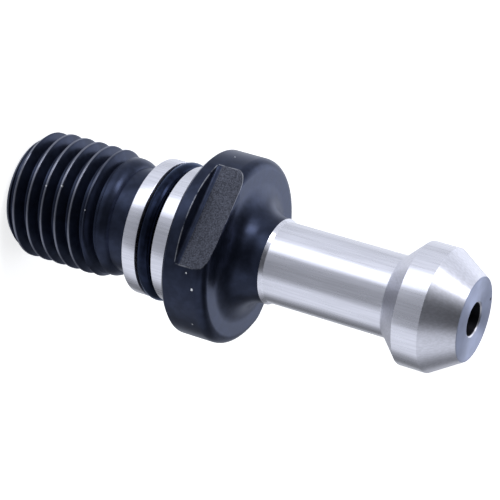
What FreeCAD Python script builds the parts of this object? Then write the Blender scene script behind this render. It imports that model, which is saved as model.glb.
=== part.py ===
import FreeCAD, Part
import os
import re

import Sketcher

# Pull stud for a size 40 steep-taper tool holder: 45 degree pull cone, coolant
# bore, and a sealing ring on the pilot. Millimetres and degrees. The origin is on
# the axis in the plane of the seat, the ring-shaped face that meets the holder.
# +Z runs towards the head that the gripper pulls, so the thread points down.

doc = FreeCAD.newDocument("pull_stud")

# Driving sizes. Lengths along the axis are counted from the seat unless the name
# says otherwise.

SIZES = {
    # thread and relief
    "shank_length": 25.0,        # seat to the thread's end face
    "thread_radius": 8.0,        # M16 coarse
    "thread_pitch": 2.0,
    "thread_depth": 1.227,
    "flank_angle": 30.0,         # one flank, from the plane across the axis
    "crest_flat": 0.25,
    "thread_lead": 0.84,         # sets where on the round the groove starts
    "thread_stop": 11.25,        # seat to the middle of the groove where it ends
    "end_radius": 6.6,           # end face, inside the lead-in chamfer
    "end_chamfer": 1.7,          # length of that chamfer along the axis
    "runout_radius": 7.45,       # land on which the thread runs out
    "runout_length": 0.85,
    "shoulder_length": 1.45,     # taper from that land down to the relief
    "relief_radius": 6.6,
    "relief_length": 2.95,
    # pilot and sealing ring
    "pilot_radius": 8.5,
    "pilot_length": 7.2,
    "pilot_chamfer": 0.15,
    "groove_start": 3.1,         # seat to the near wall of the ring's groove
    "groove_width": 2.25,
    "ring_section": 1.9,
    "ring_proud": 0.2,           # ring above the pilot, pressed flush when fitted
    "ring_floor_gap": 0.03,
    "ring_wall_gap": 0.05,       # ring to the groove's wall on the thread side
    # flange
    "flange_radius": 11.5,
    "flange_height": 5.75,
    "seat_corner": 0.3,          # taper in the corner between pilot and seat
    "seat_chamfer": 0.4,         # outer edge of the seat
    "rim_rounding": 1.25,
    "across_flats": 19.0,
    "collar_height": 1.8,        # full round left below the wrench flats
    "cutter_corner": 0.6,        # rounding at the foot of each flat
    # neck and head
    "root_radius": 5.3,          # neck as turned, above the big fillet
    "root_fillet": 3.55,
    "root_land": 0.3,
    "neck_radius": 5.0,          # neck as ground
    "neck_step": 0.45,           # length of the taper between the two
    "head_height": 35.0,
    "pull_edge_height": 28.0,    # seat to the wide end of the pull cone
    "pull_angle": 45.0,          # pull cone, from the axis
    "head_radius": 7.5,
    "head_land": 3.2,            # cylinder between the two cones
    "nose_radius": 5.1,
    "bore_radius": 2.0,
    "bore_chamfer": 0.2,
}

sheet = doc.addObject("Spreadsheet::Sheet", "Sizes")
for row, (alias, size) in enumerate(SIZES.items(), start=1):
    sheet.set(f"A{row}", alias)
    sheet.set(f"B{row}", str(size))
    sheet.setAlias(f"B{row}", alias)
doc.recompute()


def formula(text):
    """Turn each size's name in text into a reference to its cell."""
    return re.sub(rf"\b({'|'.join(SIZES)})\b", r"Sizes.\1", text)


def number(text):
    """Work out a formula on the sizes."""
    return float(sheet.evalExpression(formula(text)))


# Places along the axis and radii that follow from the driving sizes.

RELIEF_FOOT = "(pilot_length + relief_length)"
RUNOUT_NEAR = f"({RELIEF_FOOT} + shoulder_length)"
RUNOUT_FAR = f"({RUNOUT_NEAR} + runout_length)"
CREST_END = f"({RUNOUT_FAR} + thread_radius - runout_radius)"
GROOVE_END = "(groove_start + groove_width)"
RING_OUTER = "(pilot_radius + ring_proud)"
GROOVE_FLOOR = f"({RING_OUTER} - ring_section - ring_floor_gap)"
ROOT_END = "(flange_height + root_fillet + root_land)"
PULL_CONE_FOOT = "(pull_edge_height - (head_radius - neck_radius) / tan(pull_angle))"
LAND_END = "(pull_edge_height + head_land)"


# ------------------------------------------------------------------ sketch tools

def origin_plane(body, role):
    return next(part for part in body.Origin.OriginFeatures if part.Role == role)


def new_sketch(body, name, plane):
    sketch = body.newObject("Sketcher::SketchObject", name)
    sketch.AttachmentSupport = (origin_plane(body, plane), [""])
    sketch.MapMode = "FlatFace"
    return sketch


def bind(sketch, constraint, text):
    """Add a dimension whose value is a formula."""
    index = sketch.addConstraint(Sketcher.Constraint(*constraint, number(text)))
    sketch.setExpression(f"Constraints[{index}]", formula(text))


def arc_between(start, end, radius, turn):
    """The short arc from start to end; turn is 1 for a left turn and -1 for a right."""
    chord = end - start
    reach = (radius ** 2 - chord.Length ** 2 / 4) ** 0.5
    left = FreeCAD.Vector(-chord.y, chord.x, 0).normalize()
    centre = (start + end) / 2 + left * reach * turn
    circle = Part.Circle(centre, FreeCAD.Vector(0, 0, 1), radius)
    first, last = (start, end) if turn > 0 else (end, start)
    return Part.ArcOfCircle(circle, circle.parameter(first), circle.parameter(last))


def outline(body, name, plane, corners):
    """Sketch a closed outline. A corner is its x and y formulas, and for a rounded
    edge to the next corner also the radius formula and 1 or -1 for its turn."""
    sketch = new_sketch(body, name, plane)
    places = [FreeCAD.Vector(number(corner[0]), number(corner[1]), 0) for corner in corners]
    ends = []
    for index, corner in enumerate(corners):
        start = places[index]
        end = places[(index + 1) % len(corners)]
        if len(corner) == 2:
            edge = sketch.addGeometry(Part.LineSegment(start, end), False)
            ends.append((edge, 1, 2))
        else:
            radius, turn = corner[2:]
            edge = sketch.addGeometry(arc_between(start, end, number(radius), turn), False)
            ends.append((edge, 1, 2) if turn > 0 else (edge, 2, 1))
            bind(sketch, ("Radius", edge), radius)
    for index, corner in enumerate(corners):
        edge, begin, _ = ends[index]
        before, _, finish = ends[index - 1]
        sketch.addConstraint(Sketcher.Constraint("Coincident", before, finish, edge, begin))
        bind(sketch, ("DistanceX", -1, 1, edge, begin), corner[0])
        bind(sketch, ("DistanceY", -1, 1, edge, begin), corner[1])
    return sketch


def circle(body, name, plane, centre, radius):
    """Sketch a circle from formulas for its centre and radius."""
    sketch = new_sketch(body, name, plane)
    place = FreeCAD.Vector(number(centre[0]), number(centre[1]), 0)
    normal = FreeCAD.Vector(0, 0, 1)
    edge = sketch.addGeometry(Part.Circle(place, normal, number(radius)), False)
    bind(sketch, ("Radius", edge), radius)
    bind(sketch, ("DistanceX", -1, 1, edge, 3), centre[0])
    bind(sketch, ("DistanceY", -1, 1, edge, 3), centre[1])
    return sketch


def revolve(body, name, sketch):
    feature = body.newObject("PartDesign::Revolution", name)
    feature.Profile = sketch
    feature.ReferenceAxis = (sketch, ["V_Axis"])
    feature.Angle = 360
    return feature


# -------------------------------------------------------------------- stud_body
# One turned bar: shank, pilot, flange, neck and head, then the thread, the two
# wrench flats and the bore cut into it.

stud = doc.addObject("PartDesign::Body", "stud_body")
stud.Label = "stud_body"

turned_outline = outline(stud, "turned_outline", "XZ_Plane", [
    ("0", "-shank_length"),
    ("end_radius", "-shank_length"),
    ("thread_radius", "end_chamfer - shank_length"),
    ("thread_radius", f"-{CREST_END}"),
    ("runout_radius", f"-{RUNOUT_FAR}"),
    ("runout_radius", f"-{RUNOUT_NEAR}"),
    ("relief_radius", f"-{RELIEF_FOOT}"),
    ("relief_radius", "-pilot_length"),
    ("pilot_radius - pilot_chamfer", "-pilot_length"),
    ("pilot_radius", "pilot_chamfer - pilot_length"),
    ("pilot_radius", f"-{GROOVE_END}"),
    (GROOVE_FLOOR, f"-{GROOVE_END}"),
    (GROOVE_FLOOR, "-groove_start"),
    ("pilot_radius", "-groove_start"),
    ("pilot_radius", "-seat_corner"),
    ("pilot_radius + seat_corner", "0"),
    ("flange_radius - seat_chamfer", "0"),
    ("flange_radius", "seat_chamfer"),
    ("flange_radius", "flange_height - rim_rounding", "rim_rounding", 1),
    ("flange_radius - rim_rounding", "flange_height"),
    ("root_radius + root_fillet", "flange_height", "root_fillet", -1),
    ("root_radius", "flange_height + root_fillet"),
    ("root_radius", ROOT_END),
    ("neck_radius", f"{ROOT_END} + neck_step"),
    ("neck_radius", PULL_CONE_FOOT),
    ("head_radius", "pull_edge_height"),
    ("head_radius", LAND_END),
    ("nose_radius", "head_height"),
    ("0", "head_height"),
])
revolve(stud, "turned_bar", turned_outline)

# The thread is one helical groove. Its cutting outline stands OVERCUT proud of the
# crests, starts more than a turn below the end face and stops on the runout land.

OVERCUT = "(crest_flat / 2)"
MOUTH_HALF = f"((thread_pitch - crest_flat) / 2 + {OVERCUT} * tan(flank_angle))"
ROOT_HALF = "((thread_pitch - crest_flat) / 2 - thread_depth * tan(flank_angle))"
THREAD_START = "(-shank_length - thread_pitch - thread_lead)"

groove_outline = outline(stud, "thread_outline", "XZ_Plane", [
    ("thread_radius - thread_depth", f"{THREAD_START} - {ROOT_HALF}"),
    (f"thread_radius + {OVERCUT}", f"{THREAD_START} - {MOUTH_HALF}"),
    (f"thread_radius + {OVERCUT}", f"{THREAD_START} + {MOUTH_HALF}"),
    ("thread_radius - thread_depth", f"{THREAD_START} + {ROOT_HALF}"),
])
thread = stud.newObject("PartDesign::SubtractiveHelix", "thread")
thread.Profile = groove_outline
thread.ReferenceAxis = (groove_outline, ["V_Axis"])
thread.Mode = "pitch-height-angle"
thread.setExpression("Pitch", formula("thread_pitch"))
thread.setExpression("Height", formula(f"-{THREAD_START} - thread_stop"))
thread.LeftHanded = False

# Each wrench flat is milled from the head side down to the collar, with the
# cutter's corner rounding left at its foot.

FLAT = "(across_flats / 2)"
CLEAR = "(flange_height + cutter_corner)"

flat_outline = outline(stud, "flat_outline", "YZ_Plane", [
    (FLAT, CLEAR),
    (FLAT, "collar_height + cutter_corner", "cutter_corner", 1),
    (f"{FLAT} + cutter_corner", "collar_height"),
    ("flange_radius + cutter_corner", "collar_height"),
    ("flange_radius + cutter_corner", CLEAR),
])
flat = stud.newObject("PartDesign::Pocket", "wrench_flat")
flat.Profile = flat_outline
flat.SideType = "Symmetric"
flat.setExpression("Length", formula("2 * flange_radius"))

flats = stud.newObject("PartDesign::Mirrored", "both_flats")
flats.Originals = [flat]
flats.MirrorPlane = (origin_plane(stud, "XZ_Plane"), [""])
stud.Tip = flats

bore = stud.newObject("PartDesign::Pocket", "coolant_bore")
bore.Profile = circle(stud, "bore_outline", "XY_Plane", ("0", "0"), "bore_radius")
bore.SideType = "Symmetric"
bore.Type = "ThroughAll"
stud.Tip = bore
doc.recompute()


SAME_PLACE = 1e-6


def mouth_edges(shape):
    """Names of the bore's two rims, at the end face and at the nose."""
    ends = (-number("shank_length"), number("head_height"))
    names = []
    for index, edge in enumerate(shape.Edges, start=1):
        round_edge = edge.Curve.TypeId == "Part::GeomCircle"
        if round_edge and abs(edge.Curve.Radius - number("bore_radius")) < SAME_PLACE:
            if min(abs(edge.Curve.Center.z - end) for end in ends) < SAME_PLACE:
                names.append(f"Edge{index}")
    return names


mouths = stud.newObject("PartDesign::Chamfer", "bore_mouths")
mouths.Base = (bore, mouth_edges(bore.Shape))
mouths.setExpression("Size", formula("bore_chamfer"))
stud.Tip = mouths

# ----------------------------------------------------------------------- o_ring
# The round cord is drawn with twelve flats, which keeps its facets few and lies
# within 0.04 mm of the true round.

RING_FLATS = 12
RING_MIDDLE = f"({RING_OUTER} - ring_section / 2)"
RING_HEIGHT = f"(ring_section / 2 + ring_wall_gap - {GROOVE_END})"

ring = doc.addObject("PartDesign::Body", "o_ring")
ring.Label = "o_ring"
ring_corners = []
for step in range(RING_FLATS):
    angle = 360 * step / RING_FLATS
    ring_corners.append((
        f"{RING_MIDDLE} + ring_section / 2 * cos({angle})",
        f"{RING_HEIGHT} + ring_section / 2 * sin({angle})",
    ))
ring_outline = outline(ring, "ring_outline", "XZ_Plane", ring_corners)
ring.Tip = revolve(ring, "moulded_ring", ring_outline)

# ------------------------------------------------------------------- write out

doc.recompute()
for item in doc.Objects:
    if {"Invalid", "Error"} & set(item.State):
        raise RuntimeError(f"{item.Name} failed: {item.State}")
bodies = [stud, ring]
for body in bodies:
    if body.Shape.isNull() or not body.Shape.isValid():
        raise RuntimeError(f"{body.Label} has no valid shape")

os.makedirs("parts", exist_ok=True)
for body in bodies:
    body.Shape.exportStep(f"parts/{body.Label}.step")
    box = body.Shape.optimalBoundingBox()
    print(body.Label, "solids", len(body.Shape.Solids), "volume", round(body.Shape.Volume, 3),
          "z", round(box.ZMin, 3), round(box.ZMax, 3), "x", round(box.XMin, 3), round(box.XMax, 3))
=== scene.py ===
"""Looks for a pull stud: threaded shank, ground pilot, flange with wrench flats, pull head, sealing ring."""

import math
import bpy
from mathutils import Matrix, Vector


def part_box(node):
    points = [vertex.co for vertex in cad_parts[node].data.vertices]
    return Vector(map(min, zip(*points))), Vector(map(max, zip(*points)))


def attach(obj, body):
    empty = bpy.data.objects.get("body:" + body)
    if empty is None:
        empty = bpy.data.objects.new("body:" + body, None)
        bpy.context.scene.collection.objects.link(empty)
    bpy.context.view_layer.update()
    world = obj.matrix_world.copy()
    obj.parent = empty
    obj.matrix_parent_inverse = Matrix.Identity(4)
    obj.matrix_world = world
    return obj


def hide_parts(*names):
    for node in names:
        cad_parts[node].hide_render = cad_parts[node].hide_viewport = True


bl_info = {
    "name": "Pull stud",
    "version": (1, 0, 0),
    "blender": (4, 5, 0),
    "location": "3D View > Sidebar > Pull stud",
    "description": "Builds a pull stud for a steep-taper tool holder and the stage it stands on",
    "category": "Add Mesh",
}

import bmesh
import bpy
import numpy as np
from bpy.props import FloatProperty, FloatVectorProperty, IntProperty, PointerProperty
from mathutils import Matrix, Vector

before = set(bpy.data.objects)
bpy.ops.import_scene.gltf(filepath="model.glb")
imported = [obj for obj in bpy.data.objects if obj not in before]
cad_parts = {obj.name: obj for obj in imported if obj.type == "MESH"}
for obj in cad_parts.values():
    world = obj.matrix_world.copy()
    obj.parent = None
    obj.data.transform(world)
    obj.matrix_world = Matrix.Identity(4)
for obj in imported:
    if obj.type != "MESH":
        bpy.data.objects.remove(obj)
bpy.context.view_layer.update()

MM = 0.001
STUD_LOW, STUD_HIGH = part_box("stud_body")
RING_LOW, RING_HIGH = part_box("o_ring")


# ------------------------------------------------------------------- properties

def length(name, description, millimetres):
    """A length property that is given in millimetres and kept in metres."""
    return FloatProperty(name=name, description=description, default=millimetres * MM,
                         min=0, precision=5, subtype="DISTANCE", unit="LENGTH")


def angle(name, description, degrees):
    return FloatProperty(name=name, description=description, default=math.radians(degrees),
                         subtype="ANGLE", unit="ROTATION")


def share(name, description, value):
    return FloatProperty(name=name, description=description, default=value,
                         min=0, max=1, subtype="FACTOR", unit="NONE")


def colour(name, description, value):
    return FloatVectorProperty(name=name, description=description, default=value,
                               size=3, min=0, max=1, subtype="COLOR", unit="NONE")


class ShankSizes(bpy.types.PropertyGroup):
    length: length("Length", "Seat to the thread's end face", -STUD_LOW.z / MM)
    radius: length("Thread radius", "Axis to the crests", 8.0)
    pitch: length("Pitch", "Crest to crest along the axis", 2.0)
    depth: length("Thread depth", "Crest to root", 1.227)
    flank: angle("Flank angle", "One flank, from the plane across the axis", 30.0)
    crest: length("Crest width", "Flat on top of each ridge", 0.25)
    lead: length("Lead", "Height of the first crest above the end face on the X side", 0.16)
    last_turn: angle("Groove end", "Where on the round the groove ends, from the X side", 106.0)
    softness: length("Edge softness", "Rounding of the crests and roots", 0.05)
    end_radius: length("End radius", "End face, inside the chamfer", 6.6)
    end_chamfer: length("End chamfer", "Length of the lead-in chamfer", 1.7)
    land_radius: length("Land radius", "Land on which the thread runs out", 7.45)
    land_near: length("Land start", "Seat to the near end of the land", 11.6)
    land_far: length("Land end", "Seat to the far end of the land", 12.45)
    shoulder: length("Shoulder rounding", "Rounding from the land down to the relief", 1.66)
    relief_radius: length("Relief radius", "Necked length behind the pilot", 6.6)
    relief_far: length("Relief end", "Seat to the far end of the relief", 10.15)


class CollarSizes(bpy.types.PropertyGroup):
    pilot_radius: length("Pilot radius", "Ground bands beside the ring", 8.5)
    pilot_length: length("Pilot length", "Seat to the far end of the pilot", 7.2)
    groove_near: length("Groove start", "Seat to the near wall of the ring's groove", 3.1)
    groove_far: length("Groove end", "Seat to the far wall of the ring's groove", 5.35)
    groove_floor: length("Groove floor", "Axis to the floor of the groove", 6.77)
    flange_radius: length("Flange radius", "Axis to the round of the flange", STUD_HIGH.x / MM)
    flange_height: length("Flange height", "Seat to the flange's front face", 5.75)
    rim: length("Rim rounding", "Rounding at the flange's front edge", 1.25)
    seat_chamfer: length("Seat chamfer", "Bevel at the flange's back edge", 0.4)
    root_radius: length("Root radius", "Neck above the big fillet", 5.3)
    root_fillet: length("Root fillet", "Fillet from the flange up to the neck", 3.55)
    root_top: length("Root height", "Seat to the end of the black finish", 9.62)
    half_flats: length("Half across flats", "Axis to each wrench flat", 9.5)
    flat_foot: length("Collar height", "Full round left below the flats", 1.8)
    cutter_corner: length("Cutter corner", "Rounding at the foot of each flat", 0.6)


class HeadSizes(bpy.types.PropertyGroup):
    height: length("Height", "Seat to the front face", STUD_HIGH.z / MM)
    neck_radius: length("Neck radius", "Ground neck", 5.0)
    neck_start: length("Neck start", "Seat to the full length of the ground neck", 10.05)
    cone_foot: length("Pull cone foot", "Seat to the narrow end of the pull cone", 25.5)
    edge_height: length("Pull edge", "Seat to the wide end of the pull cone", 28.0)
    head_radius: length("Head radius", "Axis to the head's round", 7.5)
    land_top: length("Land top", "Seat to the foot of the front cone", 31.2)
    nose_radius: length("Nose radius", "Front face", 5.1)
    bore_radius: length("Bore radius", "Coolant bore", 2.0)
    bore_chamfer: length("Bore chamfer", "Bevel at the bore's mouths", 0.2)


class RingSizes(bpy.types.PropertyGroup):
    outer: length("Outer radius", "Axis to the ring's crown", RING_HIGH.x / MM)
    section: length("Section", "Thickness of the ring", (RING_HIGH.z - RING_LOW.z) / MM)
    middle: length("Middle", "Seat to the middle of the ring",
                   -(RING_HIGH.z + RING_LOW.z) / 2 / MM)


class Finish(bpy.types.PropertyGroup):
    oxide: colour("Black oxide", "Blackened steel of the shank and the flange", (0.022, 0.028, 0.052))
    oxide_sheen: share("Oxide roughness", "How matt the blackened steel is", 0.30)
    ground: colour("Ground steel", "Bright steel of the pilot, neck and head", (0.73, 0.735, 0.83))
    ground_sheen: share("Ground roughness", "How matt the ground steel is", 0.28)
    parted: colour("Parted face", "Matt front face of the head", (0.40, 0.44, 0.60))
    milled: colour("Milled flat", "Worn oxide on the wrench flats", (0.075, 0.08, 0.105))
    rubber: colour("Rubber", "Sealing ring", (0.008, 0.011, 0.024))
    floor: colour("Floor", "Pale floor under the stud", (0.86, 0.86, 0.87))


class PullStud(bpy.types.PropertyGroup):
    segments: IntProperty(name="Segments", description="Faces around the axis", default=288,
                          min=48, max=720, subtype="UNSIGNED")
    shank: PointerProperty(type=ShankSizes, name="Shank", description="Thread and relief")
    collar: PointerProperty(type=CollarSizes, name="Collar", description="Pilot and flange")
    head: PointerProperty(type=HeadSizes, name="Head", description="Neck and pull head")
    ring: PointerProperty(type=RingSizes, name="Ring", description="Sealing ring")
    finish: PointerProperty(type=Finish, name="Finish", description="Colours and sheens")


# ---------------------------------------------------------------- turned shapes

def turned_profile(corners):
    """Round the corners of a closed outline of (radius, height, rounding, steps)."""
    points = []
    count = len(corners)
    for index, (r, z, rounding, steps) in enumerate(corners):
        here = Vector((r, z))
        if not rounding:
            points.append(here)
            continue
        before = (Vector(corners[index - 1][:2]) - here).normalized()
        after = (Vector(corners[(index + 1) % count][:2]) - here).normalized()
        half = before.angle(after) / 2
        reach = rounding / math.tan(half)
        centre = here + (before + after).normalized() * rounding / math.sin(half)
        start = here + before * reach - centre
        end = here + after * reach - centre
        sweep = start.angle_signed(end)
        for step in range(steps + 1):
            turn = Matrix.Rotation(-sweep * step / steps, 2)
            points.append(centre + turn @ start)
    return points


def turned_mesh(name, profile, segments):
    """Turn a closed outline that doesn't touch the axis about Z."""
    angles = np.arange(segments) * math.tau / segments
    points = np.array([tuple(point) for point in profile])
    rows = len(points)
    places = np.empty((segments, rows, 3))
    places[:, :, 0] = np.cos(angles)[:, None] * points[:, 0]
    places[:, :, 1] = np.sin(angles)[:, None] * points[:, 0]
    places[:, :, 2] = points[:, 1]
    here = np.arange(segments)[:, None] * rows + np.arange(rows)
    side = np.roll(here, -1, axis=0)
    quads = np.stack([here, side, np.roll(side, -1, axis=1), np.roll(here, -1, axis=1)], axis=-1)
    mesh = bpy.data.meshes.new(name)
    mesh.from_pydata(places.reshape(-1, 3).tolist(), [], quads.reshape(-1, 4).tolist())
    return mesh


def face_outwards(mesh, crease):
    """Merge doubles, point the faces outwards and keep edges sharper than crease crisp."""
    work = bmesh.new()
    work.from_mesh(mesh)
    bmesh.ops.remove_doubles(work, verts=work.verts, dist=0.0005 * MM)
    bmesh.ops.dissolve_degenerate(work, dist=0.0001 * MM, edges=work.edges)
    bmesh.ops.recalc_face_normals(work, faces=work.faces)
    work.to_mesh(mesh)
    work.free()
    mesh.shade_smooth()
    mesh.set_sharp_from_angle(angle=crease)


CREASE = math.radians(32)


def show(mesh, name, material):
    """Make the piece of that name from a finished mesh and put it in the scene."""
    piece = bpy.data.objects.new(name, mesh)
    mesh.materials.clear()
    mesh.materials.append(material)
    bpy.context.scene.collection.objects.link(piece)
    return piece


def declare(piece, node):
    """Fix the piece to the part and hide the solid that it stands for."""
    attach(piece, "root")
    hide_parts(node)


# ---------------------------------------------------------------- shader maths

class Value:
    """A socket of a node tree that does arithmetic when written in an expression."""

    def __init__(self, shader, socket):
        self.shader = shader
        self.socket = socket

    def maths(self, operation, *others):
        return self.shader.node("ShaderNodeMath", {"operation": operation},
                                {index: item for index, item in enumerate((self, *others))})

    def __add__(self, other):
        return self.maths("ADD", other)

    def __radd__(self, other):
        return self.maths("ADD", other)

    def __sub__(self, other):
        return self.maths("SUBTRACT", other)

    def __rsub__(self, other):
        return self.maths("MULTIPLY", -1) + other

    def __mul__(self, other):
        return self.maths("MULTIPLY", other)

    def __rmul__(self, other):
        return self.maths("MULTIPLY", other)

    def __truediv__(self, other):
        return self.maths("DIVIDE", other)

    def __neg__(self):
        return self.maths("MULTIPLY", -1)

    def __abs__(self):
        return self.maths("ABSOLUTE")

    def __pow__(self, other):
        return self.maths("POWER", other)

    def smaller(self, other):
        return self.maths("MINIMUM", other)

    def larger(self, other):
        return self.maths("MAXIMUM", other)

    def ramp(self, low, high):
        """0 below low, 1 above high, smooth in between."""
        return self.shader.node("ShaderNodeMapRange", {"interpolation_type": "SMOOTHSTEP"},
                                {"Value": self, "From Min": low, "From Max": high})


class Tree:
    """Adds nodes to a node tree."""

    def __init__(self, tree):
        self.tree = tree
        self.tree.nodes.clear()

    def node(self, kind, settings=None, inputs=None, output=0):
        """Add a node: its settings first, then the values or links of its sockets."""
        made = self.tree.nodes.new(kind)
        for name, setting in (settings or {}).items():
            if name == "stops":
                self.set_stops(made.color_ramp, setting)
            else:
                setattr(made, name, setting)
        for name, item in (inputs or {}).items():
            if isinstance(item, Value):
                self.tree.links.new(item.socket, made.inputs[name])
            else:
                made.inputs[name].default_value = item
        if not made.outputs:
            return made
        return Value(self, made.outputs[output])

    def set_stops(self, ramp, stops):
        while len(ramp.elements) < len(stops):
            ramp.elements.new(1.0)
        for element, (place, shade) in zip(ramp.elements, stops):
            element.position = place
            element.color = shade

    def mix(self, factor, first, second):
        """Blend two colours."""
        return self.node("ShaderNodeMix", {"data_type": "RGBA", "clamp_factor": True},
                         {0: factor, 6: first, 7: second}, output=2)

    def parts(self, vector):
        """The X, Y and Z of a vector."""
        split = self.node("ShaderNodeSeparateXYZ", None, {0: vector})
        return [Value(self, socket) for socket in split.socket.node.outputs]

    def noise(self, place, scale, detail=2.0, roughness=0.5, stretch=(1, 1, 1)):
        """Noise on a place in millimetres; scale is in cells a millimetre."""
        stretched = self.node("ShaderNodeVectorMath", {"operation": "MULTIPLY"},
                              {0: place, 1: stretch})
        return self.node("ShaderNodeTexNoise", None,
                         {"Vector": stretched, "Scale": scale, "Detail": detail, "Roughness": roughness})


def rgba(value, gain=1.0):
    return (*(min(1.0, part * gain) for part in value), 1.0)


def new_material(name):
    """A material with its Tree and the place on the piece in millimetres."""
    material = bpy.data.materials.new(name)
    material.use_nodes = True
    tree = Tree(material.node_tree)
    place = tree.node("ShaderNodeTexCoord", output=3)
    place = tree.node("ShaderNodeVectorMath", {"operation": "SCALE"}, {0: place, "Scale": 1 / MM})
    return material, tree, place


def finish_material(tree, **inputs):
    shader = tree.node("ShaderNodeBsdfPrincipled", None,
                       {name.replace("_", " "): item for name, item in inputs.items()})
    tree.node("ShaderNodeOutputMaterial", None, {"Surface": shader})


# Lighter lines along the crests and round the flats, and bare metal in the nicks.
# The crests lose their bright line where the thread runs out, between the two heights.

CREST_LINE = (0.24, 0.25, 0.31)
FLAT_EDGE_LINE = (0.34, 0.35, 0.40)
NICK_METAL = (0.75, 0.76, 0.80)
CREST_FADE = (-14.0, -13.0)

# Small nicks through the oxide, on the flange and on the crests: turn about the axis in
# degrees from the X axis, height above the seat and size in millimetres.

NICKS = (
    (-42.1, 4.31, 0.22), (-51.6, 3.43, 0.14), (-13.5, 3.77, 0.16), (-37.9, 5.35, 0.12),
    (-35.6, 5.30, 0.10), (-14.7, 5.45, 0.10), (-120.6, 5.50, 0.26), (-138.6, 2.48, 0.12),
    (-79.3, -19.27, 0.14), (-83.2, -17.18, 0.18), (-78.9, -17.51, 0.12), (-68.9, -13.16, 0.12),
    (-46.5, -19.26, 0.12),
)


def black_oxide(finish, sizes):
    material, tree, place = new_material("black_oxide")
    x, y, z = tree.parts(place)
    radius = (x * x + y * y) ** 0.5
    off_axis = abs(y)
    crests = sizes.shank.radius / MM
    flange = sizes.collar.flange_radius / MM
    half = sizes.collar.half_flats / MM
    ledge = sizes.collar.flat_foot / MM
    cloud = tree.noise(place, 0.9, detail=4)
    grain = tree.noise(place, 14.0, detail=2)
    base = tree.mix(cloud.ramp(0.35, 0.7), rgba(finish.oxide, 0.85), rgba(finish.oxide, 1.2))

    crest = radius.ramp(crests - 0.09, crests - 0.02)
    crest = crest * (1 - z.ramp(*CREST_FADE)) * (0.6 + 0.4 * cloud)
    base = tree.mix(crest * 0.8, base, rgba(CREST_LINE))

    flat = off_axis.ramp(half - 0.06, half - 0.02) * (1 - off_axis.ramp(half + 0.01, half + 0.05))
    flat = flat * z.ramp(ledge + 0.5, ledge + 0.65)
    speckle = tree.noise(place, 7.0, detail=5, roughness=0.7)
    milled = tree.mix(speckle.ramp(0.35, 0.68), rgba(finish.milled, 0.45), rgba(finish.milled, 1.5))
    base = tree.mix(flat, base, milled)

    # Bright lines on the edges at each side and at the foot of a flat.
    side = off_axis.ramp(half - 0.14, half - 0.06) * (1 - off_axis.ramp(half - 0.02, half))
    side = side * z.ramp(ledge, ledge + 0.1)
    foot = z.ramp(ledge - 0.14, ledge - 0.06) * (1 - z.ramp(ledge, ledge + 0.05))
    foot = foot * off_axis.ramp(half, half + 0.1) * radius.ramp(flange - 0.2, flange - 0.1)
    edge_and_cloud = side.larger(foot) * cloud.ramp(0.35, 0.6)
    base = tree.mix(edge_and_cloud * 0.8, base, rgba(FLAT_EDGE_LINE))

    nick = None
    ragged = tree.noise(place, 9.0, detail=3) - 0.5
    for turn, height, size in NICKS:
        around = math.radians(turn)
        reach = flange if height > 0 else crests
        middle = (reach * math.cos(around), reach * math.sin(around), height)
        away = tree.node("ShaderNodeVectorMath", {"operation": "DISTANCE"}, {0: place, 1: middle}, output=1)
        spot = 1 - (away + ragged * size * 1.6).ramp(size * 0.5, size * 0.8)
        nick = spot if nick is None else nick.larger(spot)
    base = tree.mix(nick, base, rgba(NICK_METAL))

    rough = finish.oxide_sheen + 0.10 * (cloud - 0.5) + 0.05 * (grain - 0.5) + flat * 0.25
    bump = tree.node("ShaderNodeBump", {"invert": False},
                     {"Strength": 0.25, "Distance": 0.01 * MM,
                      "Height": grain * 0.4 + flat * speckle * 3.0})
    finish_material(tree, Base_Color=base, Roughness=rough, Metallic=0.85 + 0.15 * nick, Normal=bump,
                    IOR=1.4, Specular_Tint=(0.85, 0.88, 1.0, 1.0))
    return material


# A dark nick in the front face, as a place in millimetres, and its colour, and the painted shade inside the
# bore.

NOSE_NICK = (-3.73, 2.68, 35.0)
NICK_SHADE = (0.03, 0.03, 0.04)
PAINTED_BORE_SHADE = (0.02, 0.02, 0.025)


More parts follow.
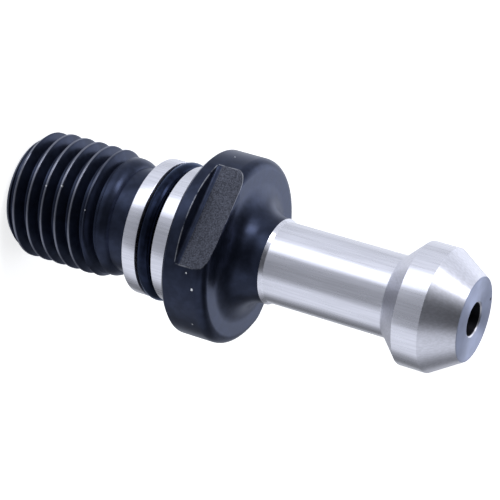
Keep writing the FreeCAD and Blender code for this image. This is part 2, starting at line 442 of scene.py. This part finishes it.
def ground_steel(finish, head):
    material, tree, place = new_material("ground_steel")
    x, y, z = tree.parts(place)
    radius = (x * x + y * y) ** 0.5
    lines = tree.noise(place, 1.0, detail=3, stretch=(4.0, 4.0, 0.15))
    cloud = tree.noise(place, 0.6, detail=3)
    fine = tree.noise(place, 3.0, detail=3, stretch=(0.3, 0.3, 4.0))
    base = tree.mix(lines.ramp(0.3, 0.75), rgba(finish.ground, 0.9), rgba(finish.ground, 1.05))

    # The front face is left matt from the parting tool and darker towards its rim, and the bore's inside is
    # painted near black as shade.
    front = head.height / MM
    nose = z.ramp(front - 0.06, front - 0.01)
    rim = radius.ramp(head.nose_radius / MM - 0.35, head.nose_radius / MM - 0.1)
    edge_and_cloud = cloud.ramp(0.3, 0.7) * 0.5 + rim * 0.5
    matt = tree.mix(edge_and_cloud, rgba(finish.parted, 1.05), rgba(finish.parted, 0.85))
    base = tree.mix(nose, base, matt)
    away = tree.node("ShaderNodeVectorMath", {"operation": "DISTANCE"}, {0: place, 1: NOSE_NICK}, output=1)
    base = tree.mix(1 - away.ramp(0.12, 0.26), base, rgba(NICK_SHADE))
    # Painted shade: the inside of the bore is made near black.
    bore = 1 - radius.ramp(head.bore_radius / MM + 0.01, head.bore_radius / MM + 0.05)
    base = tree.mix(bore, base, rgba(PAINTED_BORE_SHADE))

    # The two cones are turned and not ground, so they are a little rougher.
    foot, edge, land = head.cone_foot / MM, head.edge_height / MM, head.land_top / MM
    turned = z.ramp(land - 0.05, land + 0.05)
    turned = turned + z.ramp(foot - 0.2, foot) * (1 - z.ramp(edge - 0.1, edge))
    rough = (finish.ground_sheen + 0.06 * (lines - 0.5) + 0.05 * (cloud - 0.5) + nose * 0.3 + bore * 0.3
             + turned * 0.12)
    bump = tree.node("ShaderNodeBump", {"invert": False},
                     {"Strength": 0.06, "Distance": 0.002 * MM, "Height": fine})
    finish_material(tree, Base_Color=base, Roughness=rough, Normal=bump, Metallic=1 - nose * 0.3,
                    Anisotropic=0.75, Anisotropic_Rotation=0.25)
    return material


def nitrile(finish):
    material, tree, place = new_material("nitrile_rubber")
    cloud = tree.noise(place, 1.2, detail=3)
    grain = tree.noise(place, 16.0, detail=2)
    base = tree.mix(cloud.ramp(0.3, 0.7), rgba(finish.rubber, 0.8), rgba(finish.rubber, 1.5))
    bump = tree.node("ShaderNodeBump", {"invert": False},
                     {"Strength": 0.15, "Distance": 0.006 * MM, "Height": grain})
    finish_material(tree, Base_Color=base, Roughness=0.18 + 0.08 * cloud, Normal=bump, Metallic=0.9,
                    IOR=1.3, Specular_Tint=(0.7, 0.78, 1.0, 1.0))
    return material


def finish_named(name):
    """The material of that name, made when it is first asked for."""
    stud = bpy.context.scene.pull_stud
    if name in bpy.data.materials:
        return bpy.data.materials[name]
    makers = {
        "black_oxide": lambda: black_oxide(stud.finish, stud),
        "ground_steel": lambda: ground_steel(stud.finish, stud.head),
        "nitrile_rubber": lambda: nitrile(stud.finish),
    }
    return makers[name]()


# ----------------------------------------------------------------- thread by rule

THREAD_INPUTS = (
    ("Radius", "radius"), ("Pitch", "pitch"), ("Depth", "depth"), ("Crest", "crest"),
    ("Lead", "lead"), ("Softness", "softness"), ("Length", "length"),
    ("End Radius", "end_radius"), ("End Chamfer", "end_chamfer"),
    ("Land Radius", "land_radius"), ("Land Near", "land_near"), ("Land Far", "land_far"),
    ("Shoulder", "shoulder"), ("Relief Radius", "relief_radius"), ("Relief Far", "relief_far"),
    ("Flank", "flank"),
)
ROWS_A_PITCH = 24


def thread_tree():
    """Geometry Nodes: a helical thread round Z joined to the turned rest of the shank."""
    group = bpy.data.node_groups.new("Helical thread", "GeometryNodeTree")
    face = group.interface
    face.new_socket("Geometry", in_out="INPUT", socket_type="NodeSocketGeometry")
    for label, _ in THREAD_INPUTS:
        face.new_socket(label, in_out="INPUT", socket_type="NodeSocketFloat")
    face.new_socket("Last Turn", in_out="INPUT", socket_type="NodeSocketFloat")
    face.new_socket("Last Root", in_out="INPUT", socket_type="NodeSocketFloat")
    face.new_socket("Segments", in_out="INPUT", socket_type="NodeSocketInt")
    face.new_socket("Rows", in_out="INPUT", socket_type="NodeSocketInt")
    face.new_socket("Material", in_out="INPUT", socket_type="NodeSocketMaterial")
    face.new_socket("Geometry", in_out="OUTPUT", socket_type="NodeSocketGeometry")
    tree = Tree(group)
    given = tree.node("NodeGroupInput").socket.node.outputs
    size = {socket.name: Value(tree, socket) for socket in given}

    grid = tree.node("GeometryNodeMeshGrid", None,
                     {"Size X": 1.0, "Size Y": 1.0,
                      "Vertices X": size["Segments"] + 1, "Vertices Y": size["Rows"]})
    u, v, _ = tree.parts(tree.node("GeometryNodeInputPosition"))
    turn = u + 0.5
    start = size["Lead"] - size["Length"] - size["Pitch"] * 2
    row = (v + 0.5) * (size["Rows"] - 1)
    raw = start + row * size["Pitch"] / ROWS_A_PITCH + turn * size["Pitch"]
    height = raw.larger(-size["Length"]).smaller(-size["Relief Far"])

    # The last groove ends at Last Turn on the round: past its middle only the near
    # flank is left, and over its last fifth the groove rises to the surface.
    back = (turn - size["Last Turn"]).maths("FRACT")
    past_last = height - back * size["Pitch"] - size["Last Root"]
    along = ((height - start - turn * size["Pitch"]) / size["Pitch"]).maths("FRACT")
    from_crest = (0.5 - abs(along - 0.5)) * size["Pitch"]
    from_crest = from_crest.smaller(size["Pitch"] / 2 - past_last)
    sunk = (from_crest - size["Crest"] / 2).maths("SMOOTH_MAX", 0.0, size["Softness"])
    sunk = sunk / size["Flank"].maths("TANGENT")
    last = (past_last + size["Pitch"] / 2).ramp(-0.01 * MM, 0.01 * MM)
    floor = size["Depth"] * (1 - last * back.ramp(0.8, 1.0))
    sunk = sunk.maths("SMOOTH_MIN", floor, size["Softness"])
    thread = size["Radius"] - sunk.larger(0.0)

    chamfer = size["End Radius"] + (height + size["Length"]) * (
        (size["Radius"] - size["End Radius"]) / size["End Chamfer"])
    cone = (size["Land Radius"] - (height + size["Land Far"])).larger(size["Land Radius"])
    past = (height + size["Land Near"]).larger(0.0)
    fall = size["Shoulder"] - ((size["Shoulder"] ** 2 - past * past).larger(0.0)) ** 0.5
    lathe = (cone - fall).larger(size["Relief Radius"])
    radius = thread.smaller(chamfer).smaller(lathe)

    spin = turn * math.tau
    place = tree.node("ShaderNodeCombineXYZ", None,
                      {0: radius * spin.maths("COSINE"), 1: radius * spin.maths("SINE"), 2: height})
    placed = tree.node("GeometryNodeSetPosition", None, {"Geometry": grid, "Position": place})
    joined = tree.node("GeometryNodeJoinGeometry")
    tree.tree.links.new(placed.socket, joined.socket.node.inputs[0])
    tree.tree.links.new(size["Geometry"].socket, joined.socket.node.inputs[0])
    merged = tree.node("GeometryNodeMergeByDistance", None, {"Geometry": joined, "Distance": 0.002 * MM})
    real = tree.node("GeometryNodeRealizeInstances", None, {"Geometry": merged})
    coated = tree.node("GeometryNodeSetMaterial", None, {"Geometry": real, "Material": size["Material"]})
    tree.node("NodeGroupOutput", None, {"Geometry": coated})
    return group


def grown(seed_mesh, group, values):
    """Run a Geometry Nodes tree on a mesh and return the result as a plain mesh."""
    holder = bpy.data.objects.new(seed_mesh.name, seed_mesh)
    bpy.context.scene.collection.objects.link(holder)
    modifier = holder.modifiers.new(group.name, "NODES")
    modifier.node_group = group
    for socket in group.interface.items_tree:
        if socket.in_out == "INPUT" and socket.name in values:
            modifier[socket.identifier] = values[socket.name]
    evaluated = holder.evaluated_get(bpy.context.evaluated_depsgraph_get())
    mesh = bpy.data.meshes.new_from_object(evaluated)
    holder.modifiers.clear()
    bpy.data.objects.remove(holder)
    return mesh


# ------------------------------------------------------------------- operators

class PULLSTUD_OT_shank(bpy.types.Operator):
    """Make the threaded shank and the relief behind it"""
    bl_idname = "pull_stud.shank"
    bl_label = "Threaded shank"

    def execute(self, context):
        stud = context.scene.pull_stud
        shank, head, collar = stud.shank, stud.head, stud.collar
        bore, mouth = head.bore_radius, head.bore_chamfer
        profile = turned_profile((
            (shank.relief_radius, -shank.relief_far, 0, 0),
            (shank.relief_radius, -collar.pilot_length, 0, 0),
            (bore, -collar.pilot_length, 0, 0),
            (bore, mouth - shank.length, 0, 0),
            (bore + mouth, -shank.length, 0, 0),
            (shank.end_radius, -shank.length, 0, 0),
        ))
        rest = turned_mesh("shank_rest", profile, stud.segments)
        work = bmesh.new()
        work.from_mesh(rest)
        seam = [face for face in work.faces
                if all(abs(vert.co.xy.length - shank.end_radius) < MM * 0.01 for vert in face.verts)
                and min(vert.co.z for vert in face.verts) < -shank.relief_far - MM]
        bmesh.ops.delete(work, geom=seam, context="FACES_ONLY")
        work.to_mesh(rest)
        work.free()
        values = {label: getattr(shank, name) for label, name in THREAD_INPUTS}
        rows = math.ceil((shank.length - shank.relief_far + 2 * shank.pitch)
                         / shank.pitch * ROWS_A_PITCH) + 1
        last_turn = shank.last_turn / math.tau
        crest = shank.lead - shank.length + last_turn * shank.pitch
        grooves = math.floor((-shank.land_far - crest) / shank.pitch - 0.5)
        values.update({"Last Turn": last_turn, "Last Root": crest + (grooves + 0.5) * shank.pitch,
                       "Segments": stud.segments, "Rows": rows,
                       "Material": finish_named("black_oxide")})
        mesh = grown(rest, thread_tree(), values)
        face_outwards(mesh, CREASE)
        piece = show(mesh, "threaded_shank", finish_named("black_oxide"))
        declare(piece, "stud_body")
        return {"FINISHED"}


class PULLSTUD_OT_pilot(bpy.types.Operator):
    """Make the ground pilot with the ring's groove"""
    bl_idname = "pull_stud.pilot"
    bl_label = "Pilot"

    def execute(self, context):
        stud = context.scene.pull_stud
        sizes, bore = stud.collar, stud.head.bore_radius
        soft, lip = 0.06 * MM, 0.15 * MM
        profile = turned_profile((
            (bore, 0, 0, 0),
            (bore, -sizes.pilot_length, 0, 0),
            (sizes.pilot_radius, -sizes.pilot_length, lip, 4),
            (sizes.pilot_radius, -sizes.groove_far, soft, 3),
            (sizes.groove_floor, -sizes.groove_far, soft, 3),
            (sizes.groove_floor, -sizes.groove_near, soft, 3),
            (sizes.pilot_radius, -sizes.groove_near, soft, 3),
            (sizes.pilot_radius, 0, 0, 0),
        ))
        mesh = turned_mesh("pilot", profile, stud.segments)
        face_outwards(mesh, CREASE)
        piece = show(mesh, "pilot", finish_named("ground_steel"))
        declare(piece, "stud_body")
        return {"FINISHED"}


class PULLSTUD_OT_flange(bpy.types.Operator):
    """Make the flange with its two wrench flats and the big fillet"""
    bl_idname = "pull_stud.flange"
    bl_label = "Flange"

    def execute(self, context):
        stud = context.scene.pull_stud
        sizes, bore = stud.collar, stud.head.bore_radius
        soft = 0.06 * MM
        profile = turned_profile((
            (bore, sizes.root_top, 0, 0),
            (bore, 0, 0, 0),
            (sizes.flange_radius - sizes.seat_chamfer, 0, soft, 3),
            (sizes.flange_radius, sizes.seat_chamfer, 3 * soft, 4),
            (sizes.flange_radius, sizes.flange_height, sizes.rim, 20),
            (sizes.root_radius, sizes.flange_height, sizes.root_fillet, 40),
            (sizes.root_radius, sizes.root_top, 0, 0),
        ))
        mesh = turned_mesh("flange", profile, stud.segments)
        face_outwards(mesh, CREASE)
        material = finish_named("black_oxide")
        piece = show(mesh, "flange", material)
        cutter = self.cutter(sizes)
        cut = piece.modifiers.new("wrench flats", "BOOLEAN")
        cut.operation = "DIFFERENCE"
        cut.solver = "EXACT"
        cut.object = cutter
        evaluated = piece.evaluated_get(context.evaluated_depsgraph_get())
        mesh = bpy.data.meshes.new_from_object(evaluated)
        piece.modifiers.clear()
        piece.data = mesh
        bpy.data.objects.remove(cutter)
        self.break_edges(mesh, sizes)
        face_outwards(mesh, CREASE)
        mesh.materials.clear()
        mesh.materials.append(material)
        declare(piece, "stud_body")
        return {"FINISHED"}

    def cutter(self, sizes):
        """Both wrench flats' waste: a prism along X on each side."""
        reach = sizes.flange_radius * 1.2
        corner, steps = sizes.cutter_corner, 8
        near, foot = sizes.half_flats, sizes.flat_foot
        outline = [(near, sizes.flange_height * 2)]
        for step in range(steps + 1):
            around = math.pi / 2 * step / steps
            outline.append((near + corner - corner * math.cos(around),
                            foot + corner - corner * math.sin(around)))
        outline += [(reach, foot), (reach, sizes.flange_height * 2)]
        work = bmesh.new()
        for side in (-1, 1):
            ends = [[work.verts.new((end * reach, side * y, z)) for y, z in outline]
                    for end in (-1, 1)]
            for rim in ends:
                work.faces.new(rim)
            count = len(outline)
            for index in range(count):
                after = (index + 1) % count
                work.faces.new((ends[0][index], ends[0][after], ends[1][after], ends[1][index]))
        bmesh.ops.recalc_face_normals(work, faces=work.faces)
        mesh = bpy.data.meshes.new("flat_cutter")
        work.to_mesh(mesh)
        work.free()
        holder = bpy.data.objects.new("flat_cutter", mesh)
        bpy.context.scene.collection.objects.link(holder)
        return holder

    def break_edges(self, mesh, sizes):
        """Round the fresh edges round each flat a little."""
        work = bmesh.new()
        work.from_mesh(mesh)
        bmesh.ops.remove_doubles(work, verts=work.verts, dist=0.002 * MM)
        fresh = []
        for edge in work.edges:
            if len(edge.link_faces) != 2 or edge.calc_face_angle(0) < CREASE * 0.8:
                continue
            middle = (edge.verts[0].co + edge.verts[1].co) / 2
            if abs(middle.y) > sizes.half_flats - 0.02 * MM and middle.z > sizes.flat_foot - 0.02 * MM:
                fresh.append(edge)
        bmesh.ops.bevel(work, geom=fresh, offset=0.09 * MM, segments=2, profile=0.5,
                        affect="EDGES", clamp_overlap=True)
        work.to_mesh(mesh)
        work.free()


class PULLSTUD_OT_head(bpy.types.Operator):
    """Make the ground neck and the pull head"""
    bl_idname = "pull_stud.head"
    bl_label = "Neck and head"

    def execute(self, context):
        stud = context.scene.pull_stud
        sizes, collar = stud.head, stud.collar
        soft = 0.08 * MM
        profile = turned_profile((
            (sizes.bore_radius, collar.root_top, 0, 0),
            (collar.root_radius, collar.root_top, 0, 0),
            (sizes.neck_radius, sizes.neck_start, soft * 3, 4),
            (sizes.neck_radius, sizes.cone_foot, soft * 4, 6),
            (sizes.head_radius, sizes.edge_height, soft * 2, 4),
            (sizes.head_radius, sizes.land_top, soft, 3),
            (sizes.nose_radius, sizes.height, soft * 1.5, 4),
            (sizes.bore_radius + sizes.bore_chamfer, sizes.height, soft / 2, 3),
            (sizes.bore_radius, sizes.height - sizes.bore_chamfer, soft / 2, 3),
        ))
        mesh = turned_mesh("pull_head", profile, stud.segments)
        face_outwards(mesh, CREASE)
        piece = show(mesh, "pull_head", finish_named("ground_steel"))
        declare(piece, "stud_body")
        return {"FINISHED"}


class PULLSTUD_OT_ring(bpy.types.Operator):
    """Make the rubber sealing ring in the pilot's groove"""
    bl_idname = "pull_stud.ring"
    bl_label = "Sealing ring"

    def execute(self, context):
        stud = context.scene.pull_stud
        sizes = stud.ring
        half = sizes.section / 2
        steps = 32
        profile = [Vector((sizes.outer - half + half * math.cos(math.tau * step / steps),
                           half * math.sin(math.tau * step / steps) - sizes.middle))
                   for step in range(steps)]
        mesh = turned_mesh("sealing_ring", profile, stud.segments)
        face_outwards(mesh, math.radians(60))
        piece = show(mesh, "sealing_ring", finish_named("nitrile_rubber"))
        declare(piece, "o_ring")
        return {"FINISHED"}


# The studio round the stud: a level all round that is dark overhead and behind the
# viewer, with pale walls and cards. Each is its direction from the X axis, half its width
# and the softness of its edges in degrees, the heights (-1 straight down, 1 straight up)
# between which it stands, and the level that it adds.

STUDIO_LEVEL = 0.46
STUDIO_TINT = (0.93, 0.96, 1.0)
STUDIO_WALLS = (
    (-178.6, 75, 10, -1.0, 0.75, 0.50),
    (-193.6, 8, 8, -1.0, 0.75, -0.14),
    (141.4, 14, 10, -0.25, 0.10, 0.25),
    (128.4, 26, 12, 0.32, 0.70, 1.6),
    (4.4, 27, 8, -1.0, 0.75, 0.52),
    (60.4, 11, 8, -1.0, 0.75, -0.24),
    (86.4, 12, 6, -0.7, 0.30, 0.15),
    (-111.6, 9, 14, -0.75, 0.05, 1.2),
    (-93.6, 12, 15, -0.75, -0.2, 0.18),
    (-63.6, 30, 15, 0.0, 1.2, -0.32),
)
WALL_EDGE = 0.1

# The ceiling's lower and upper edge as heights, and the share of the light that it takes.

CEILING = (0.68, 0.88, 0.9)

# Softboxes: directions of the two ends from the stud (turn about Z from the X axis and
# height above the horizon, in degrees), distance and width in metres, and level.

SOFTBOXES = (
    ("key", (-133, 18), (-139, 50), 0.60, 0.17, 6.0),
)


# Half the floor's width in metres, its gap below the stud's end face in millimetres, and
# the level at which it glows for the camera alone, so that it ends in white.

FLOOR_HALF = 3.0
FLOOR_GAP = 0.02
FLOOR_GLOW = 0.7

# The camera: its place in millimetres, its backward and right-hand directions, and its
# focal length and sensor width in millimetres.

CAMERA_PLACE = (65.793, -223.258, 110.531)
CAMERA_BACK = (0.25907642, -0.87402059, 0.41105647)
CAMERA_RIGHT = (-0.38366326, 0.29744372, 0.87425953)
CAMERA_LENS = 153.33
CAMERA_SENSOR = 36.0


class PULLSTUD_OT_stage(bpy.types.Operator):
    """Make the pale floor, the studio light and the camera"""
    bl_idname = "pull_stud.stage"
    bl_label = "Stage"

    def execute(self, context):
        scene = context.scene
        scene.view_settings.view_transform = "Standard"
        self.floor(scene)
        self.world(scene)
        for softbox in SOFTBOXES:
            self.softbox(scene, *softbox)
        self.camera(scene)
        return {"FINISHED"}

    def floor(self, scene):
        mesh = bpy.data.meshes.new("floor")
        low = -scene.pull_stud.shank.length - FLOOR_GAP * MM
        corners = [(x * FLOOR_HALF, y * FLOOR_HALF, low) for x, y in ((-1, -1), (1, -1), (1, 1), (-1, 1))]
        mesh.from_pydata(corners, [], [(0, 1, 2, 3)])
        material = bpy.data.materials.new("pale_floor")
        material.use_nodes = True
        tree = Tree(material.node_tree)
        ray = tree.node("ShaderNodeLightPath")
        plain = tree.node("ShaderNodeBsdfDiffuse", None, {"Color": rgba(scene.pull_stud.finish.floor)})
        glow = tree.node("ShaderNodeEmission", None, {"Color": (1, 1, 1, 1), "Strength": ray * FLOOR_GLOW})
        lit = tree.node("ShaderNodeAddShader", None, {0: plain, 1: glow})
        tree.node("ShaderNodeOutputMaterial", None, {"Surface": lit})
        mesh.materials.append(material)
        floor = bpy.data.objects.new("floor", mesh)
        # The ground steel reflects the studio's walls below the horizon too.
        floor.visible_glossy = False
        scene.collection.objects.link(floor)

    def world(self, scene):
        world = bpy.data.worlds.new("studio")
        world.use_nodes = True
        tree = Tree(world.node_tree)
        x, y, z = tree.parts(tree.node("ShaderNodeTexCoord"))
        flat = (x * x + y * y + 0.0001) ** 0.5

        def sector(turn, half, soft):
            """1 within half degrees of the direction turn, falling to 0 over soft degrees."""
            aim = math.radians(turn)
            near = (x * math.cos(aim) + y * math.sin(aim)) / flat
            return near.ramp(math.cos(math.radians(half + soft)), math.cos(math.radians(half - soft)))

        level = STUDIO_LEVEL
        for turn, half, soft, low, high, gain in STUDIO_WALLS:
            upright = z.ramp(low - WALL_EDGE, low + WALL_EDGE)
            upright = upright * (1 - z.ramp(high - WALL_EDGE, high + WALL_EDGE))
            level = level + sector(turn, half, soft) * upright * gain
        low, high, share_lost = CEILING
        level = level * (1 - z.ramp(low, high) * share_lost)
        ray = tree.node("ShaderNodeLightPath")
        seen = level + ray * (1 - level)
        shade = tree.mix(ray, rgba(STUDIO_TINT), (1, 1, 1, 1))
        sky = tree.node("ShaderNodeBackground", None, {"Color": shade, "Strength": seen})
        tree.node("ShaderNodeOutputWorld", None, {"Surface": sky})
        scene.world = world

    def softbox(self, scene, name, foot, top, distance, width, level):
        ends = []
        for turn, lift in (foot, top):
            turn, lift = math.radians(turn), math.radians(lift)
            ends.append(Vector((math.cos(turn) * math.cos(lift), math.sin(turn) * math.cos(lift),
                                math.sin(lift))) * distance)
        middle, along = (ends[0] + ends[1]) / 2, ends[1] - ends[0]
        back = middle.normalized()
        up = along.normalized()
        side = up.cross(back).normalized()
        lamp = bpy.data.lights.new(name, "AREA")
        lamp.shape = "RECTANGLE"
        lamp.size = width
        lamp.size_y = along.length
        lamp.energy = level * math.pi * width * along.length
        rig = bpy.data.objects.new(name, lamp)
        rig.matrix_world = (Matrix.Translation(middle)
                            @ Matrix((side, up, side.cross(up))).transposed().to_4x4())
        rig.visible_camera = False
        scene.collection.objects.link(rig)

    def camera(self, scene):
        lens = bpy.data.cameras.new("camera")
        lens.sensor_width = CAMERA_SENSOR
        lens.lens = CAMERA_LENS
        lens.clip_start = 0.01
        camera = bpy.data.objects.new("camera", lens)
        place = Vector(CAMERA_PLACE) * MM
        back = Vector(CAMERA_BACK)
        right = Vector(CAMERA_RIGHT)
        up = back.cross(right)
        turned = Matrix((right, up, back)).transposed().to_4x4()
        camera.matrix_world = Matrix.Translation(place) @ turned
        scene.collection.objects.link(camera)
        scene.camera = camera


class PULLSTUD_PT_panel(bpy.types.Panel):
    """Buttons that build the pull stud piece by piece"""
    bl_idname = "PULLSTUD_PT_panel"
    bl_label = "Pull stud"
    bl_space_type = "VIEW_3D"
    bl_region_type = "UI"
    bl_category = "Pull stud"

    def draw(self, context):
        for operator in OPERATORS:
            self.layout.operator(operator.bl_idname)


OPERATORS = (
    PULLSTUD_OT_shank,
    PULLSTUD_OT_pilot,
    PULLSTUD_OT_flange,
    PULLSTUD_OT_head,
    PULLSTUD_OT_ring,
    PULLSTUD_OT_stage,
)
CLASSES = (ShankSizes, CollarSizes, HeadSizes, RingSizes, Finish, PullStud,
           *OPERATORS, PULLSTUD_PT_panel)


def register():
    for item in CLASSES:
        bpy.utils.register_class(item)
    bpy.types.Scene.pull_stud = PointerProperty(type=PullStud)


def unregister():
    del bpy.types.Scene.pull_stud
    for item in reversed(CLASSES):
        bpy.utils.unregister_class(item)


def main():
    register()
    bpy.ops.pull_stud.shank()
    bpy.ops.pull_stud.pilot()
    bpy.ops.pull_stud.flange()
    bpy.ops.pull_stud.head()
    bpy.ops.pull_stud.ring()
    bpy.ops.pull_stud.stage()


if __name__ == "__main__":
    main()
